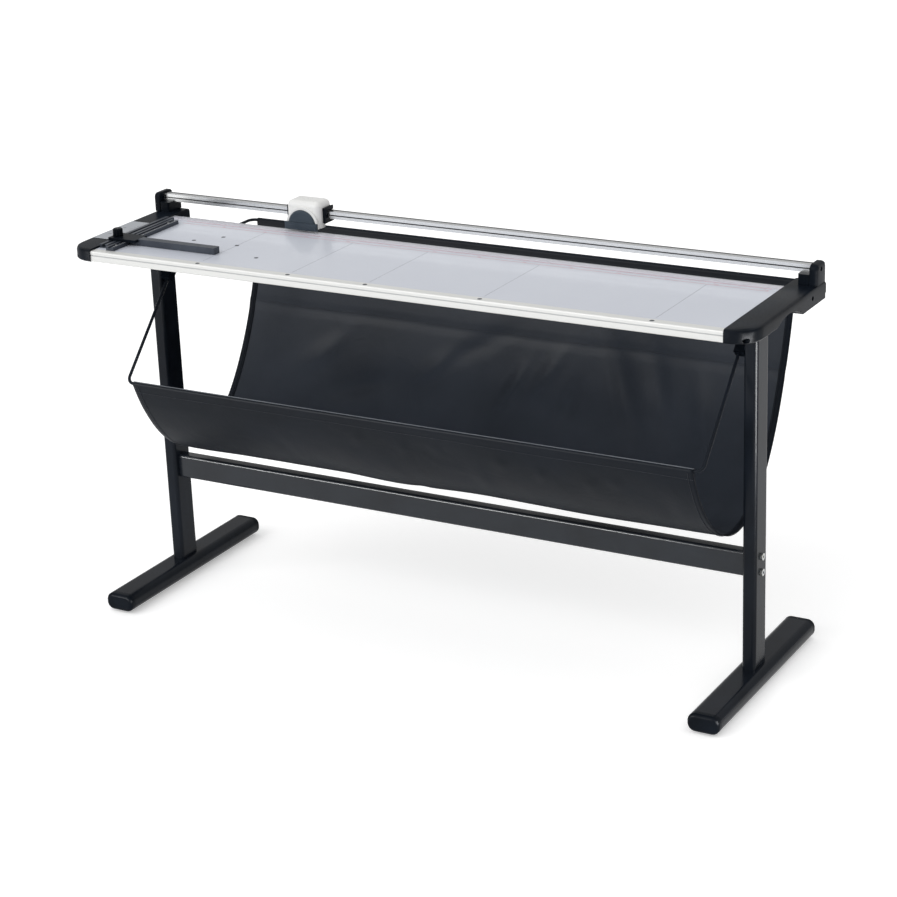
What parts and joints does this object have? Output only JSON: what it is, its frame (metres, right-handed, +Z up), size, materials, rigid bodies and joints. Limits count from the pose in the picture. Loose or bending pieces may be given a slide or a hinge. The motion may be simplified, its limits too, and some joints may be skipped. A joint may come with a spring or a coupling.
{
  "type": "wide format paper cutter",
  "caption": "Rotary trimmer with a long table and cutting rail on a black T-foot stand, with a sliding cutting head, a side backstop and a cloth catch bag below.",
  "frame": {"origin": "on the floor, below the middle of the cutter's bounding box", "axes": "+X along the table to the right, +Y from the operator's side to the bag's rear, +Z up"},
  "size_m": [1.489, 0.5516, 0.8369],
  "materials": {
    "frame_steel": "satin black powder coat",
    "black_plastic": "fine textured black moulding",
    "zinc_steel": "bright zinc plate",
    "aluminium": "clear anodised extrusion",
    "table_laminate": "glossy printed laminate",
    "blade_steel": "ground steel",
    "clear_plastic": "clear sheet",
    "dark_anodised": "dark satin anodising",
    "scale_aluminium": "satin plate",
    "bag_cloth": "matt woven nylon",
    "white_plastic": "smooth white moulding",
    "liner_plastic": "natural slide plastic",
    "grey_plastic": "dark grey moulding",
    "hub_brass": "turned brass"
  },
  "bodies": {
    "stand": {"left_foot_tube": "frame_steel", "right_foot_tube": "frame_steel", "left_column": "frame_steel", "right_column": "frame_steel", "crossbar": "frame_steel", "left_top_plate": "frame_steel", "right_top_plate": "frame_steel", "left_cross_member": "frame_steel", "right_cross_member": "frame_steel", "rear_bag_wire": "frame_steel", "front_bag_wire": "frame_steel", "foot_end_caps": "black_plastic", "floor_glides": "black_plastic", "left_end_block": "black_plastic", "right_end_block": "black_plastic", "left_rail_post": "black_plastic", "right_rail_post": "black_plastic", "left_rail_cheek": "black_plastic", "right_rail_cheek": "black_plastic", "rear_wire_sockets": "black_plastic", "front_wire_sockets": "black_plastic", "column_plugs": "zinc_steel", "column_base_bolts": "zinc_steel", "crossbar_plugs": "zinc_steel", "crossbar_bolts": "zinc_steel", "top_plate_screws": "zinc_steel", "bed_knife_screws": "zinc_steel", "end_block_screws": "zinc_steel", "rail_post_screws": "zinc_steel", "rail_end_screws": "zinc_steel", "ruler_screws": "zinc_steel", "socket_screws": "zinc_steel", "front_edge_rail": "aluminium", "rear_edge_rail": "aluminium", "cutting_rail": "aluminium", "gauge_rail": "aluminium", "table_board": "table_laminate", "bed_knife": "blade_steel", "paper_clamp_strip": "clear_plastic", "side_ruler": "dark_anodised", "side_scale_plate": "scale_aluminium", "catch_bag": "bag_cloth"},
    "cutter_head": {"head_carriage": "black_plastic", "upper_slide_liner": "liner_plastic", "lower_slide_liner": "liner_plastic", "left_wiper": "black_plastic", "right_wiper": "black_plastic", "head_housing": "white_plastic", "blade_cover": "grey_plastic", "housing_screws": "zinc_steel", "blade_axle": "zinc_steel", "blade_spacer": "zinc_steel", "disc_spring": "blade_steel"},
    "blade": {"rotary_blade": "blade_steel", "blade_hub": "hub_brass", "blade_clamp_ring": "blade_steel"},
    "backstop": {"backstop_slider": "black_plastic", "backstop_arm": "dark_anodised", "backstop_nut": "zinc_steel"},
    "clamp_knob": {"clamp_knob": "black_plastic"}
  },
  "joints": [
    {"name": "head_slide", "type": "slide", "parent": "stand", "child": "cutter_head", "axis": [1, 0, 0], "range_m": [-0.294, 1.024]},
    {"name": "blade_spin", "type": "hinge", "parent": "cutter_head", "child": "blade", "pos_m": [-0.365, 0.05983, 0.7985], "axis": [0, 1, 0], "continuous": true},
    {"name": "backstop_slide", "type": "slide", "parent": "stand", "child": "backstop", "axis": [0, 1, 0], "range_m": [-0.028, 0.157]},
    {"name": "knob_turn", "type": "hinge", "parent": "backstop", "child": "clamp_knob", "pos_m": [-0.67575, -0.15677, 0.796], "axis": [0, 0, 1], "range_deg": [0, 360]}
  ],
  "couplings": [
    {"joint": "blade_spin", "follows": "head_slide", "rad_per_m": 38.462}
  ]
}
